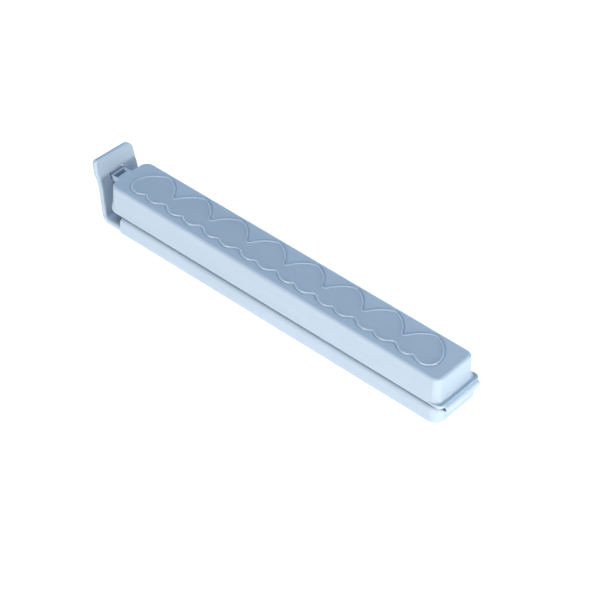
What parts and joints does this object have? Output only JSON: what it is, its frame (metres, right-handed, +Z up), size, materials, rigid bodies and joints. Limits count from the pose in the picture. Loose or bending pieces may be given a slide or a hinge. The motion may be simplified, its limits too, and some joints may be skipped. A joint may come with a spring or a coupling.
{
  "type": "bag clip",
  "caption": "Long one-piece bag sealing clip, closed: hollow upper arm with joined heart relief, tray-shaped lower arm, living hinge at one end and flexing thumb latch at the other.",
  "frame": {"origin": "centre of the footprint, on the surface the lower arm lies on", "axes": "+Z up out of the heart top; X along the clip, with the latch at -X and the living hinge at +X; Y across the clip"},
  "size_m": [0.11, 0.015, 0.017],
  "materials": {
    "blue_plastic": "satin"
  },
  "bodies": {
    "lower_arm": {"lower_floor": "blue_plastic", "lower_lip_near": "blue_plastic", "lower_lip_far": "blue_plastic", "lower_end_wall_hinge": "blue_plastic", "sealing_ridge_near": "blue_plastic", "sealing_ridge_far": "blue_plastic", "latch_flexure": "blue_plastic", "living_hinge_web": "blue_plastic"},
    "latch": {"latch_bend": "blue_plastic", "latch_wall": "blue_plastic", "latch_post_near": "blue_plastic", "latch_post_far": "blue_plastic", "thumb_tab": "blue_plastic"},
    "upper_arm": {"upper_top_plate": "blue_plastic", "upper_side_wall_near": "blue_plastic", "upper_side_wall_far": "blue_plastic", "upper_end_wall_hinge": "blue_plastic", "upper_end_wall_latch": "blue_plastic", "rim_bead_near": "blue_plastic", "rim_bead_far": "blue_plastic", "rim_bead_latch_end": "blue_plastic", "hinge_shelf": "blue_plastic", "heart_relief": "blue_plastic", "sealing_blade": "blue_plastic", "cross_webs": "blue_plastic", "snap_tongue": "blue_plastic"}
  },
  "joints": [
    {"name": "lid_hinge", "type": "hinge", "parent": "lower_arm", "child": "upper_arm", "pos_m": [0.054, 0, 0.0051], "axis": [0, 1, 0], "range_deg": [0, 145], "deforming": ["living_hinge_web"]},
    {"name": "latch_flex", "type": "hinge", "parent": "lower_arm", "child": "latch", "pos_m": [-0.0493, 0, 0.001], "axis": [0, -1, 0], "range_deg": [0, 12], "stiffness_Nm_per_rad": 0.8, "deforming": ["latch_flexure"]}
  ]
}
